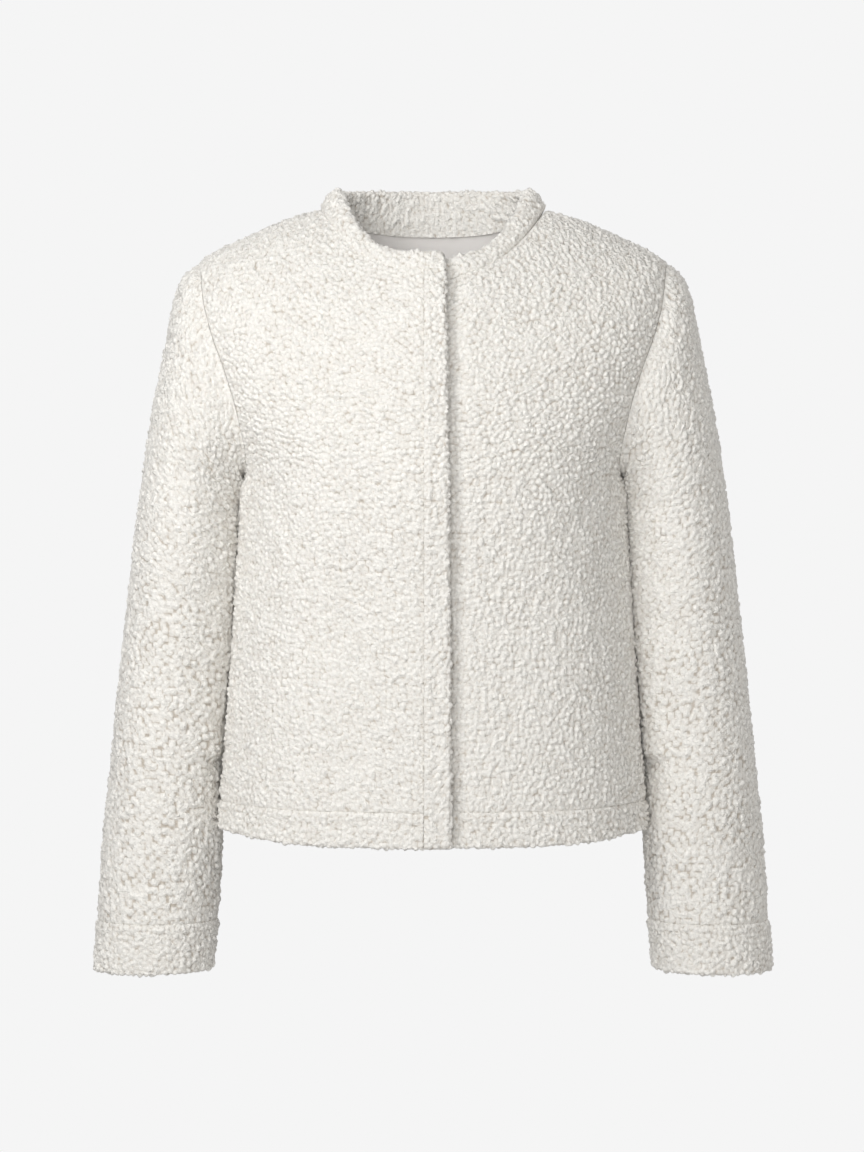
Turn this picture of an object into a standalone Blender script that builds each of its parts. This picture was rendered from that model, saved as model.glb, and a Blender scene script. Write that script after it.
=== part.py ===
"""A cropped, collarless boucle jacket, hollow and filled out as it is when worn.

Metres, +Z up, the front faces -Y and the wearer's right side is at -X. The origin is the
middle of the neck opening, at the height of the neck ends of the shoulder seams.

The body is one form of closed rings, from the hem edge up over the shoulders to the neck
seam. Each front or back panel is a stretch of that form, as a wall with an outer and an
inner face. The sleeves are tubes of ovals that start on the armhole curve.
"""

from collections import namedtuple

import bmesh
import bpy
import numpy as np

# Cloth
CLOTH = 0.0026
BAND_CLOTH = 0.0060
HEM_CLOTH = 0.0048
LINING_CLOTH = 0.0010
SEAM_GAP = 0.0003
ARMHOLE_GAP = 0.0005

# Front opening: the right front laps over the left
PLACKET_FROM_CENTRE = 0.0070
LAP_AT_NECK = 0.0103
LAP_AT_HEM = 0.0148
UNDERLAP = 0.0130
LAP_LIFT = 0.0052
LAP_FADE = 0.0600
UNDERLAP_DIP = 0.0015
UNDERLAP_FADE = 0.0450
PLACKET_OUT = 0.0060
PLACKET_IN = 0.0006

# Bands stand a little proud of the cloth above them
HEM_PROUD = 0.0006

# Armholes, as the angle they cut back from the side of the form, in degrees
FRONT_BITE = 31.0
BACK_BITE = 31.0
BITE_SHARPNESS = 0.30

# How the lining stays clear of what it is sewn to
LINING_EASE = 0.0028
LINING_INSET = 0.0080
LINING_BELOW_NECK = 0.0020
LINING_ABOVE_HEM = 0.0040

# A double band's chamfer, as a share of its thickness
EDGE_SOFTNESS = 0.25

# How finely rows are measured, and the small steps that directions are taken over
MEASURE_POINTS = 600
MEASURE_FROM = -30.0
LEVEL_STEP = 0.0005
ANGLE_STEP = 0.5

# How seams mitre: the dot product of two walls' directions above which they share one,
# and below which each keeps its own, and the least cosine that a mitre makes up for
MEETING = 0.5
FOLDED_BACK = -0.2
STEEPEST_MITRE = 0.6

# Steps of each loft
ROWS_BELOW_ARMHOLE = 5
ROWS_IN_ARMHOLE = 10
ENDS_CLOSER = 0.7
ROWS_ON_SHOULDER = 5
FRONT_COLUMNS = 11
BACK_COLUMNS = 10
LINING_COLUMNS = 6
NECK_COLUMNS = 10
SLEEVE_ROWS = 17
CAP_ROWS_CLOSER = 1.25
HEM_ROWS = 2

BodyRing = namedtuple(
    "BodyRing", "name station side_x side_y side_z front_y front_z back_y back_z square rise"
)
BODY_RINGS = (
    BodyRing("hem edge", 0.000, 0.1700, 0.000, -0.4985, -0.1200, -0.5075, 0.110, -0.5035, 2.5, 4.0),
    BodyRing("hem line", 0.022, 0.1688, 0.000, -0.4765, -0.1197, -0.4795, 0.109, -0.4780, 2.5, 4.0),
    BodyRing("below waist", 0.074, 0.1645, 0.000, -0.4250, -0.1185, -0.4250, 0.106, -0.4250, 2.5, 3.0),
    BodyRing("waist", 0.189, 0.1570, 0.001, -0.3100, -0.1190, -0.3100, 0.100, -0.3100, 2.5, 2.5),
    BodyRing("chest", 0.264, 0.1535, 0.003, -0.2350, -0.1260, -0.2350, 0.106, -0.2350, 2.5, 2.5),
    BodyRing("underarm", 0.284, 0.1545, 0.004, -0.2150, -0.1268, -0.2180, 0.108, -0.2160, 2.48, 2.5),
    BodyRing("lower armhole", 0.336, 0.1740, 0.005, -0.1650, -0.1258, -0.1880, 0.110, -0.1800, 2.34, 2.5),
    BodyRing("mid armhole", 0.385, 0.1910, 0.005, -0.1190, -0.1222, -0.1630, 0.109, -0.1470, 2.20, 2.5),
    BodyRing("upper armhole", 0.427, 0.1995, 0.005, -0.0800, -0.1172, -0.1415, 0.105, -0.1160, 2.12, 2.5),
    BodyRing("below shoulder", 0.447, 0.1985, 0.004, -0.0590, -0.1142, -0.1305, 0.102, -0.1010, 2.08, 2.5),
    BodyRing("shoulder point", 0.463, 0.1920, 0.004, -0.0395, -0.1115, -0.1210, 0.099, -0.0880, 2.06, 2.5),
    BodyRing("outer shoulder", 0.477, 0.1812, 0.004, -0.0315, -0.1090, -0.1120, 0.096, -0.0765, 2.04, 2.5),
    BodyRing("mid shoulder", 0.510, 0.1505, 0.003, -0.0165, -0.1030, -0.0930, 0.086, -0.0510, 2.02, 2.5),
    BodyRing("inner shoulder", 0.542, 0.1205, 0.001, -0.0040, -0.0950, -0.0745, 0.075, -0.0280, 2.00, 2.5),
    BodyRing("neck seam", 0.573, 0.0920, 0.000, 0.0045, -0.0850, -0.0565, 0.062, -0.0060, 2.00, 2.6),
)
HEM_LINE = 0.022
UNDERARM = 0.284
SHOULDER_POINT = 0.463
NECK_SEAM = 0.573

BandEdge = namedtuple("BandEdge", "side_x side_y side_z front_y front_z back_y back_z square rise")
BAND_TOP = BandEdge(0.0785, 0.000, 0.0235, -0.0765, -0.0405, 0.0585, 0.0275, 2.0, 3.2)

SleeveRing = namedtuple("SleeveRing", "name station outer_x outer_z inner_x inner_z front_y back_y square")
SLEEVE_RINGS = (
    SleeveRing("armhole seam", 0.000, 0.1920, -0.0395, 0.1545, -0.2150, -0.062, 0.062, 2.1),
    SleeveRing("cap top", 0.012, 0.2025, -0.0480, 0.1549, -0.2165, -0.064, 0.064, 2.1),
    SleeveRing("cap turn", 0.028, 0.2100, -0.0645, 0.1556, -0.2190, -0.066, 0.067, 2.1),
    SleeveRing("cap", 0.060, 0.2170, -0.0990, 0.1566, -0.2240, -0.067, 0.069, 2.1),
    SleeveRing("upper sleeve", 0.118, 0.2283, -0.1560, 0.1586, -0.2380, -0.067, 0.071, 2.1),
    SleeveRing("bicep", 0.200, 0.2405, -0.2360, 0.1600, -0.2680, -0.064, 0.071, 2.1),
    SleeveRing("elbow", 0.290, 0.2510, -0.3260, 0.1630, -0.3340, -0.058, 0.069, 2.1),
    SleeveRing("forearm", 0.400, 0.2620, -0.4340, 0.1715, -0.4360, -0.058, 0.058, 2.1),
    SleeveRing("below hem", 0.475, 0.2688, -0.5080, 0.1722, -0.5085, -0.060, 0.046, 2.1),
    SleeveRing("cuff line", 0.541, 0.2726, -0.5740, 0.1758, -0.5740, -0.062, 0.036, 2.1),
    SleeveRing("cuff edge", 0.581, 0.2750, -0.6140, 0.1795, -0.6140, -0.063, 0.030, 2.1),
)
CAP_LENGTH = 0.118
CUFF_LINE = 0.541
CUFF_EDGE = 0.581

BOUCLE = (0.79, 0.77, 0.72, 1.0)
LINING = (0.62, 0.58, 0.53, 1.0)


def through_rows(rows, column, at):
    """A smooth curve through one column of a table, read at some stations."""
    stations = np.array([row.station for row in rows])
    values = np.array([getattr(row, column) for row in rows])
    slopes = np.gradient(values, stations)
    low = np.clip(np.searchsorted(stations, at, side="right") - 1, 0, len(rows) - 2)
    span = stations[low + 1] - stations[low]
    t = (at - stations[low]) / span
    start = values[low] * (1 + 2 * t) * (1 - t) ** 2 + slopes[low] * span * t * (1 - t) ** 2
    end = values[low + 1] * t**2 * (3 - 2 * t) - slopes[low + 1] * span * t**2 * (1 - t)
    return start + end


def on_ring(ring, face, angle):
    """Points of a ring. The angle is 0 at the centre front or back and 90 at the side."""
    turn = np.radians(angle)
    power = 2.0 / ring["square"]
    across = np.sign(np.sin(turn)) * np.abs(np.sin(turn)) ** power
    towards = np.abs(np.cos(turn)) ** power
    rise = np.abs(across) ** ring["rise"]
    x = ring["side_x"] * across
    y = ring["side_y"] + (ring[face + "_y"] - ring["side_y"]) * towards
    z = ring[face + "_z"] + (ring["side_z"] - ring[face + "_z"]) * rise
    return np.stack(np.broadcast_arrays(x, y, z), axis=-1)


def on_body(face, station, angle):
    """Points on the outside of the body form, on the wearer's left side for angles above 0."""
    columns = BodyRing._fields[2:]
    ring = {name: through_rows(BODY_RINGS, name, station) for name in columns}
    return on_ring(ring, face, angle)


def unit(vectors):
    return vectors / np.linalg.norm(vectors, axis=-1, keepdims=True)


def body_normal(face, station, angle):
    """Outward directions, from points a little to each side."""
    above = on_body(face, np.minimum(station + LEVEL_STEP, NECK_SEAM), angle)
    below = on_body(face, np.maximum(station - LEVEL_STEP, 0.0), angle)
    ahead = on_body(face, station, np.minimum(angle + ANGLE_STEP, 90.0))
    behind = on_body(face, station, angle - ANGLE_STEP)
    normal = unit(np.cross(ahead - behind, above - below))
    return normal if face == "front" else -normal


def band_normal(face, angle):
    """Outward directions of the neckband, which rises from the neck seam to its top edge."""
    seam, top = neck_edges(face, angle)
    ahead = neck_edges(face, np.minimum(angle + ANGLE_STEP, 90.0))[0]
    behind = neck_edges(face, angle - ANGLE_STEP)[0]
    normal = unit(np.cross(ahead - behind, top - seam))
    return normal if face == "front" else -normal


def neck_edges(face, angle):
    """The band's outer face at the neck seam and at its top edge."""
    seam = on_body(face, np.full(np.shape(angle), NECK_SEAM), angle)
    top = on_ring(BAND_TOP._asdict(), face, angle)
    return seam, top


def armhole_angle(face, station):
    """Where a row of the body stops: at the side or shoulder seam, or on the armhole."""
    bite = FRONT_BITE if face == "front" else BACK_BITE
    share = np.clip((station - UNDERARM) / (SHOULDER_POINT - UNDERARM), 0.0, 1.0)
    return 90.0 - bite * np.maximum(np.sin(np.pi * share), 0.0) ** BITE_SHARPNESS


def lengths_along(points):
    """Distances along a line of points, from its first."""
    steps = np.linalg.norm(np.diff(points, axis=0), axis=1)
    return np.concatenate([[0.0], np.cumsum(steps)])


def measured_row(face, station, last_angle=90.0):
    """A row's angles with their distances from the centre line."""
    angles = np.linspace(MEASURE_FROM, last_angle, MEASURE_POINTS)
    length = lengths_along(on_body(face, np.full(angles.shape, station), angles))
    return angles, length - np.interp(0.0, angles, length)


def spaced_angles(face, station, first, last, count):
    """Angles that put points evenly along a row, with their distances from the centre
    line. The first is at a distance of first, and the last stops short of the outer end
    by last."""
    angles, length = measured_row(face, station, float(armhole_angle(face, station)))
    wanted = np.linspace(first, length[-1] - last, count)
    return np.interp(wanted, length, angles), wanted


def body_stations(low=HEM_LINE, high=NECK_SEAM):
    """The rows that every panel shares, so that neighbours meet point to point."""
    below = np.linspace(low, UNDERARM, ROWS_BELOW_ARMHOLE, endpoint=False)
    even = np.linspace(0.0, 1.0, ROWS_IN_ARMHOLE + 1)
    swing = (1 - ENDS_CLOSER) * even + ENDS_CLOSER * (1 - np.cos(np.pi * even)) / 2
    within = UNDERARM + (SHOULDER_POINT - UNDERARM) * swing
    above = np.linspace(SHOULDER_POINT, high, ROWS_ON_SHOULDER + 1)[1:]
    return np.concatenate([below, within, above])


def lap_at(station):
    """How far the right front's edge lies past the centre line."""
    return LAP_AT_HEM + (LAP_AT_NECK - LAP_AT_HEM) * station / NECK_SEAM


def fade(distance, reach):
    """1 at no distance, smoothly down to 0 at the reach."""
    share = np.clip(distance / reach, 0.0, 1.0)
    return 1 - share * share * (3 - 2 * share)


def front_offset(side, distance):
    """The lap lifts the right front off the form, and the left front dips under it."""
    if side < 0:
        return LAP_LIFT * fade(distance - PLACKET_FROM_CENTRE, LAP_FADE)
    return -UNDERLAP_DIP * fade(distance + UNDERLAP, UNDERLAP_FADE)


def mitre(own, other):
    """Directions shared by two walls at their seam, long enough to keep each wall's
    thickness. Where the walls fold back on each other, each keeps its own."""
    meet = np.sum(own * other, axis=-1, keepdims=True)
    share = np.clip((meet - FOLDED_BACK) / (MEETING - FOLDED_BACK), 0.0, 1.0)
    shared = unit(own + share * other)
    return shared / np.maximum(np.sum(shared * own, axis=-1, keepdims=True), STEEPEST_MITRE)


def mirrored(points, side):
    return points * np.array([side, 1.0, 1.0])


def loft(name, sections, closed, colour):
    """A closed solid through sections, each a loop of the same number of points."""
    count, size = sections.shape[:2]
    mesh = bpy.data.meshes.new(name)
    body = bmesh.new()
    verts = [[body.verts.new(point) for point in section] for section in sections]
    for k in range(count if closed else count - 1):
        near, far = verts[k], verts[(k + 1) % count]
        for i in range(size):
            j = (i + 1) % size
            body.faces.new((near[i], near[j], far[j], far[i]))
    if not closed:
        for cap in (verts[0], verts[-1]):
            for i in range(size // 2 - 1):
                body.faces.new((cap[i], cap[i + 1], cap[size - 2 - i], cap[size - 1 - i]))
    bmesh.ops.recalc_face_normals(body, faces=body.faces)
    body.to_mesh(mesh)
    body.free()
    finish_mesh(mesh, colour)
    piece = bpy.data.objects.new(name, mesh)
    bpy.data.collections["Jacket"].objects.link(piece)
    return piece


def finish_mesh(mesh, colour):
    mesh.shade_smooth()
    mesh.set_sharp_from_angle(angle=np.radians(40.0))
    name = "boucle" if colour == BOUCLE else "lining"
    material = bpy.data.materials.get(name) or bpy.data.materials.new(name)
    material.use_nodes = True
    shader = material.node_tree.nodes["Principled BSDF"]
    shader.inputs["Base Color"].default_value = colour
    shader.inputs["Roughness"].default_value = 0.95 if colour == BOUCLE else 0.6
    shader.inputs["Metallic"].default_value = 0.0
    mesh.materials.append(material)


def wall(name, outer, inner, colour=BOUCLE):
    """A panel from the rows of its outer and inner faces."""
    sections = np.concatenate([outer, inner[:, ::-1]], axis=1)
    return loft(name, sections, False, colour)


def body_rows(face, first, last, columns, stations):
    """Points, outward directions and distances from the centre line, row by row."""
    rows = [
        spaced_angles(face, station, first(station), last, columns)
        for station in stations
    ]
    angles = np.array([row[0] for row in rows])
    distances = np.array([row[1] for row in rows])
    levels = np.repeat(stations[:, None], columns, axis=1)
    return on_body(face, levels, angles), body_normal(face, levels, angles), distances, angles


def seam_directions(face, stations, angles, normals, sleeve_side):
    """Offsets of the inner face: square to the cloth, and mitred at the armhole and neck."""
    inward = normals.copy()
    inward[-1] = mitre(normals[-1], band_normal(face, angles[-1]))
    on_armhole = (stations > UNDERARM) & (stations <= SHOULDER_POINT)
    inward[on_armhole, -1] = mitre(normals[on_armhole, -1], sleeve_side[face][on_armhole])
    return inward


def front_panel(side, sleeve_side):
    """One front, from the lap or underlap to the side seam, armhole and shoulder seam."""
    stations = trimmed(body_stations())
    start = PLACKET_FROM_CENTRE + SEAM_GAP / 2 if side < 0 else -UNDERLAP
    rows = body_rows("front", lambda station: start, SEAM_GAP / 2, FRONT_COLUMNS, stations)
    points, normals, distances, angles = rows
    offset = front_offset(side, distances)[..., None]
    inward = seam_directions("front", body_stations(), angles, normals, sleeve_side)
    outer = points + normals * offset
    inner = points + inward * (offset - CLOTH)
    name = "front_right" if side < 0 else "front_left"
    return wall(name, mirrored(outer, side), mirrored(inner, side))


def trimmed(stations):
    """The rows with half a seam gap taken off at the hem line and the neck."""
    rows = stations.copy()
    rows[0] += SEAM_GAP / 2
    rows[-1] -= SEAM_GAP / 2
    return rows


def back_panel(sleeve_side):
    """The back, one wall from side seam to side seam."""
    stations = trimmed(body_stations())
    rows = body_rows("back", lambda station: 0.0, SEAM_GAP / 2, BACK_COLUMNS + 1, stations)
    points, normals, _, angles = rows
    inward = seam_directions("back", body_stations(), angles, normals, sleeve_side)
    return wall("back", both_sides(points), both_sides(points - inward * CLOTH))


def both_sides(points):
    """Rows from the centre line out, joined to their mirror images."""
    return np.concatenate([mirrored(points[:, :0:-1], -1), points], axis=1)


def lining_back():
    """The lining, a thin wall just inside the back."""
    stations = body_stations(HEM_LINE + LINING_ABOVE_HEM, NECK_SEAM - LINING_BELOW_NECK)
    rows = body_rows("back", lambda station: 0.0, LINING_INSET, LINING_COLUMNS + 1, stations)
    points, normals = rows[:2]
    face = points - normals * (CLOTH + LINING_EASE)
    lining = face - normals * LINING_CLOTH
    return wall("lining_back", both_sides(face), both_sides(lining), LINING)


def folded(points, normals, out, thick):
    """Sections of a double band. Each has four points across the band, and its long edges
    are chamfered on both faces."""
    soft = thick * EDGE_SOFTNESS
    drop = np.array([soft, 0.0, 0.0, soft])[:, None]
    outer = points + normals * (out - drop)
    inner = points + normals * (out - thick + drop)
    return np.concatenate([outer, inner[:, ::-1]], axis=1)


def across(low, high, thick):
    """Four places across a band, the inner two set in by the chamfer."""
    soft = thick * EDGE_SOFTNESS
    return np.array([low, low + soft, high - soft, high])


def angles_along(face, station, distances):
    """The angles at some distances from the centre line along one row."""
    angles, length = measured_row(face, station)
    return np.interp(distances, length, angles)


def placket():
    """The folded band down the right front's edge, from the neck seam to the hem edge."""
    hem = np.linspace(0.0, HEM_LINE, HEM_ROWS + 1)[:-1]
    stations = np.concatenate([hem, body_stations()])
    stations[-1] -= SEAM_GAP / 2
    far = PLACKET_FROM_CENTRE - SEAM_GAP / 2
    thick = PLACKET_OUT - PLACKET_IN
    places = [across(-lap_at(station), far, thick) for station in stations]
    rows = [angles_along("front", station, place) for station, place in zip(stations, places)]
    angles = np.array(rows)
    levels = np.repeat(stations[:, None], angles.shape[1], axis=1)
    points = on_body("front", levels, angles)
    normals = body_normal("front", levels, angles)
    sections = folded(points, normals, PLACKET_OUT, thick)
    return loft("placket", mirrored(sections, -1), False, BOUCLE)


def hem_points(face, start, columns):
    """Points, directions and distances of a hem band, column by column."""
    levels = across(0.0, HEM_LINE - SEAM_GAP / 2, HEM_CLOTH)
    points, normals, distances, _ = body_rows(face, lambda station: start, SEAM_GAP / 2, columns, levels)
    return points.swapaxes(0, 1), normals.swapaxes(0, 1), distances.T


def hem_front(side):
    start = PLACKET_FROM_CENTRE + SEAM_GAP / 2 if side < 0 else -UNDERLAP
    points, normals, distances = hem_points("front", start, FRONT_COLUMNS)
    out = HEM_PROUD + front_offset(side, distances)[..., None]
    if side > 0:
        out = out - HEM_PROUD * fade(distances + UNDERLAP, UNDERLAP_FADE)[..., None]
    sections = folded(points, normals, out, HEM_CLOTH)
    name = "hem_front_right" if side < 0 else "hem_front_left"
    return loft(name, mirrored(sections, side), False, BOUCLE)


def hem_back():
    points, normals, _ = hem_points("back", 0.0, BACK_COLUMNS + 1)
    half = folded(points, normals, HEM_PROUD, HEM_CLOTH)
    sections = np.concatenate([mirrored(half[:0:-1], -1), half])
    return loft("hem_back", sections, False, BOUCLE)


def neckband_sections(side, face, distances):
    """Part of the neckband. It rises from the neck seam, a gap above the body's cloth."""
    angles = angles_along(face, NECK_SEAM, distances)
    seam, top = neck_edges(face, angles)
    rise = top - seam
    width = np.linalg.norm(rise, axis=-1, keepdims=True)
    soft = BAND_CLOTH * EDGE_SOFTNESS
    near = np.full(width.shape, SEAM_GAP)
    places = [near, near + soft, width - soft, width]
    points = np.stack([seam + rise * place / width for place in places], axis=1)
    normals = np.repeat(band_normal(face, angles)[:, None], len(places), axis=1)
    out = front_offset(side, distances)[:, None, None] if face == "front" else 0.0
    return mirrored(folded(points, normals, out, BAND_CLOTH), side)


def neckband():
    """The band from the right front's edge, round the back neck, to under the lap."""
    front = quarter_length("front")
    back = quarter_length("back")
    right = neckband_sections(-1, "front", np.linspace(-LAP_AT_NECK, front, NECK_COLUMNS + 2))
    half = np.linspace(0.0, back, NECK_COLUMNS)
    back_right = neckband_sections(-1, "back", half[:0:-1])[1:]
    back_left = neckband_sections(1, "back", half)[:-1]
    left = neckband_sections(1, "front", np.linspace(-UNDERLAP, front, NECK_COLUMNS + 2))[::-1]
    sections = np.concatenate([right, back_right, back_left, left])
    return loft("neckband", sections, False, BOUCLE)


def quarter_length(face):
    """The length of the neck seam from the centre line to the shoulder seam."""
    return measured_row(face, NECK_SEAM)[1][-1]


def armhole_loop():
    """The armhole from the shoulder point, down the front, under the arm and up the back,
    with the body's directions there and which rows they come from."""
    stations = body_stations()
    rows = np.flatnonzero((stations >= UNDERARM) & (stations <= SHOULDER_POINT))
    levels = stations[rows]
    edges = {}
    for face in ("front", "back"):
        angles = armhole_angle(face, levels)
        edges[face] = on_body(face, levels, angles), body_normal(face, levels, angles)
    points = np.concatenate([edges["front"][0][::-1], edges["back"][0][1:-1]])
    normals = np.concatenate([edges["front"][1][::-1], edges["back"][1][1:-1]])
    return points, normals, rows


def turns_of(loop):
    """Angles round the sleeve for the armhole's points, 0 at the shoulder point and 180
    under the arm, by length along the front and along the back."""
    bottom = len(loop) // 2
    length = lengths_along(np.concatenate([loop, loop[:1]]))
    front = 180.0 * length[: bottom + 1] / length[bottom]
    back = 180.0 + 180.0 * (length[bottom:-1] - length[bottom]) / (length[-1] - length[bottom])
    return np.concatenate([front, back[1:]])


def sleeve_oval(station, turns):
    """Points of the sleeve's ovals, whose centre and width come from the table."""
    ring = {name: through_rows(SLEEVE_RINGS, name, station) for name in SleeveRing._fields[2:]}
    turn = np.radians(turns)
    power = 2.0 / ring["square"]
    wide = (1 + np.sign(np.cos(turn)) * np.abs(np.cos(turn)) ** power) / 2
    deep = -np.sign(np.sin(turn)) * np.abs(np.sin(turn)) ** power
    middle = (ring["front_y"] + ring["back_y"]) / 2
    half = (ring["back_y"] - ring["front_y"]) / 2
    x = ring["inner_x"] + (ring["outer_x"] - ring["inner_x"]) * wide
    z = ring["inner_z"] + (ring["outer_z"] - ring["inner_z"]) * wide
    y = middle + half * deep
    return np.stack(np.broadcast_arrays(x, y, z), axis=-1)


def on_sleeve(station, loop, turns):
    """The sleeve's outside. It starts on the armhole, and becomes plain ovals by the end
    of its cap."""
    start = loop - sleeve_oval(np.zeros(len(turns)), turns)
    left = (1 - np.clip(station / CAP_LENGTH, 0.0, 1.0)) ** 2
    return sleeve_oval(station, turns) + start * left[..., None]


def sleeve_grid(stations, loop, turns):
    """Points and outward directions of the sleeve, a row for each station."""
    levels = np.repeat(stations[:, None], len(turns), axis=1)
    points = on_sleeve(levels, loop, turns)
    above = on_sleeve(np.maximum(levels - LEVEL_STEP, 0.0), loop, turns)
    below = on_sleeve(np.minimum(levels + LEVEL_STEP, CUFF_EDGE), loop, turns)
    around = np.roll(points, -1, axis=1) - np.roll(points, 1, axis=1)
    return points, unit(np.cross(around, below - above))


def sleeve_start(loop, turns):
    """The sleeve's first row, its directions, and the same directions for each row of
    the body's front and back."""
    points, normals = sleeve_grid(np.array([0.0, ARMHOLE_GAP]), loop, turns)
    along = unit(points[1] - points[0])
    half = len(loop) // 2
    front = normals[0][half::-1]
    back = np.concatenate([normals[0][half:], normals[0][:1]])
    return points[0] + along * ARMHOLE_GAP, normals[0], front, back


def by_body_row(rows, directions):
    """Spreads the armhole's directions over all the rows of a panel."""
    spread = np.zeros((len(body_stations()), 3))
    spread[rows] = directions
    return spread


def sleeve(side, loop, body_directions):
    """A one-piece sleeve, from the armhole to the cuff line."""
    turns = turns_of(loop)
    stations = (CUFF_LINE - SEAM_GAP / 2) * np.linspace(0.0, 1.0, SLEEVE_ROWS + 1) ** CAP_ROWS_CLOSER
    points, normals = sleeve_grid(stations, loop, turns)
    points[0] = sleeve_start(loop, turns)[0]
    inward = normals.copy()
    inward[0] = mitre(normals[0], body_directions)
    inner = points - inward * CLOTH
    sections = np.concatenate([points, inner[::-1]]).swapaxes(0, 1)
    name = "sleeve_right" if side < 0 else "sleeve_left"
    return loft(name, mirrored(sections, side), True, BOUCLE)


def cuff(side, loop):
    turns = turns_of(loop)
    stations = across(CUFF_LINE + SEAM_GAP / 2, CUFF_EDGE, HEM_CLOTH)
    points, normals = sleeve_grid(stations, loop, turns)
    sections = folded(points.swapaxes(0, 1), normals.swapaxes(0, 1), HEM_PROUD, HEM_CLOTH)
    name = "cuff_right" if side < 0 else "cuff_left"
    return loft(name, mirrored(sections, side), True, BOUCLE)


def clear_scene():
    for item in list(bpy.data.objects):
        bpy.data.objects.remove(item, do_unlink=True)


def main():
    clear_scene()
    bpy.context.scene.collection.children.link(bpy.data.collections.new("Jacket"))
    loop, body_directions, rows = armhole_loop()
    _, _, front_start, back_start = sleeve_start(loop, turns_of(loop))
    sleeve_side = {"front": by_body_row(rows, front_start), "back": by_body_row(rows, back_start)}
    back_panel(sleeve_side)
    lining_back()
    neckband()
    placket()
    hem_back()
    for side in (-1, 1):
        front_panel(side, sleeve_side)
        hem_front(side)
        sleeve(side, loop, body_directions)
        cuff(side, loop)


main()
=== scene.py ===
"""The looks of a cropped, collarless boucle jacket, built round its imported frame.

Metres, +Z up, the front faces -Y and the wearer's right side is at -X. Each piece follows the
same form as its CAD node: closed rings from the hem edge up to the neck seam, and ovals down
the sleeves. The nubs of the yarn are real relief on that form, and finer curls are bump.
"""

from collections import namedtuple

import bmesh
import bpy
import numpy as np
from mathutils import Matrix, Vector
from mathutils.kdtree import KDTree


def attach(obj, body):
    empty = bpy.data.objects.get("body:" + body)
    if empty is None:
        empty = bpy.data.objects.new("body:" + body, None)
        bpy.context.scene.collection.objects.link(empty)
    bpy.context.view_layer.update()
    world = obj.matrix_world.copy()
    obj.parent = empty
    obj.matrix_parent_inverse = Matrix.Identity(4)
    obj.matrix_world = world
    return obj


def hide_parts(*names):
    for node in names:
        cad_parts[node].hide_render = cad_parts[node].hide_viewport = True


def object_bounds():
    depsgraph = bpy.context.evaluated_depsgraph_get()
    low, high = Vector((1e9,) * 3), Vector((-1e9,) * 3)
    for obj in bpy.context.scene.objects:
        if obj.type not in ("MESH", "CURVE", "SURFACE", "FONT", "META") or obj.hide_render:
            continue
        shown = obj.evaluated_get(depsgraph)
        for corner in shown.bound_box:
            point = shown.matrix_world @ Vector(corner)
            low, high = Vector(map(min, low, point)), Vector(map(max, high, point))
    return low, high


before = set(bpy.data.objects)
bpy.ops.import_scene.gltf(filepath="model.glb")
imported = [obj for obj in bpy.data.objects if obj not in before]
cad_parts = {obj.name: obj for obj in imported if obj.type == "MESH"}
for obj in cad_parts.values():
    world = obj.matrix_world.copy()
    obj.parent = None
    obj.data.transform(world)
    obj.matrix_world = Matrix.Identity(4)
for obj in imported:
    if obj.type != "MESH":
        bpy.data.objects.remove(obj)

CAD_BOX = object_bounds()

# Cloth, as in the CAD
CLOTH = 0.0026
HEM_CLOTH = 0.0048
LINING_CLOTH = 0.001
PLACKET_FROM_CENTRE = 0.007
LAP_AT_NECK = 0.0103
LAP_AT_HEM = 0.0148
LAP_FADE = 0.06
UNDERLAP = 0.013
UNDERLAP_DIP = 0.0015
UNDERLAP_FADE = 0.045
HEM_PROUD = 0.0006
BITE = 31.0
BITE_SHARPNESS = 0.3
LINING_INSET = 0.008
LINING_ABOVE_HEM = 0.004

# Cloth that stands thicker, prouder, closer or further in than in the CAD
BAND_CLOTH = 0.0086
PLACKET_CLOTH = 0.007
PLACKET_OUT = 0.0084
LAP_LIFT = 0.0066
SEAM_GAP = 0.00006
ARMHOLE_GAP = 0.0001
LINING_EASE = 0.0042
LINING_BELOW_NECK = 0.0006
LINING_CREASED = 0.5
WRONG_SIDE_INSET = 0.0025

# Soft swells along a distance: the trough that runs down the left front beside the lap, the
# wedge that fills the space in front of the sleeve, the ridge below a band's seam, and the dip
# at the neckband's corners
Swell = namedtuple("Swell", "height at reach")
LAP_TROUGH = Swell(0.0052, 0.0125, 0.0095)
WEDGE = Swell(0.0056, 0.034, 0.02)
RIDGE = Swell(0.0007, 0.0042, 0.0022)
CORNER_DIP = Swell(0.001, 0.0, 0.011)

# How far the body's sides and the sleeves lean towards each other below the arm
LEAN = 0.0009
LEAN_REACH = 0.04
LEAN_FADE = 0.008
SLEEVE_LEAN_FROM = 0.026

# Bands: how their ends and corners are rounded, and the neckband's own shape
END_THINNEST = 0.35
PLACKET_ENDS = (0.004, 0.0)
PLACKET_CORNERS = (0.003, 0.0)
NECK_ENDS = (0.004, 0.003)
NECK_CORNERS = (0.006, 0.004)
NECK_HANG = 0.003
NECK_CROWN = 0.0022
NECK_FAINT = 0.15

# How finely rows are measured, and the small steps that directions are taken over
MEASURE_POINTS = 600
MEASURE_FROM = -30.0
LOOP_POINTS = 240
LEVEL_STEP = 0.0005
ANGLE_STEP = 0.5
SMALLEST = 1e-9

# Spacing of the relief's points, on outer faces and on wrong sides
COARSER = 1.0
FRONT_STEP = 0.00125 * COARSER
BACK_STEP = 0.00174 * COARSER
SLEEVE_STEP = 0.00164 * COARSER
BAND_STEP = 0.00122 * COARSER
PLACKET_STEP = 0.00135 * COARSER
BAND_INSIDE_STEP = 0.003
WRONG_SIDE_STEP = 0.006
LINING_STEP = 0.0042
LINING_BACK_STEP = 0.012

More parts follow.
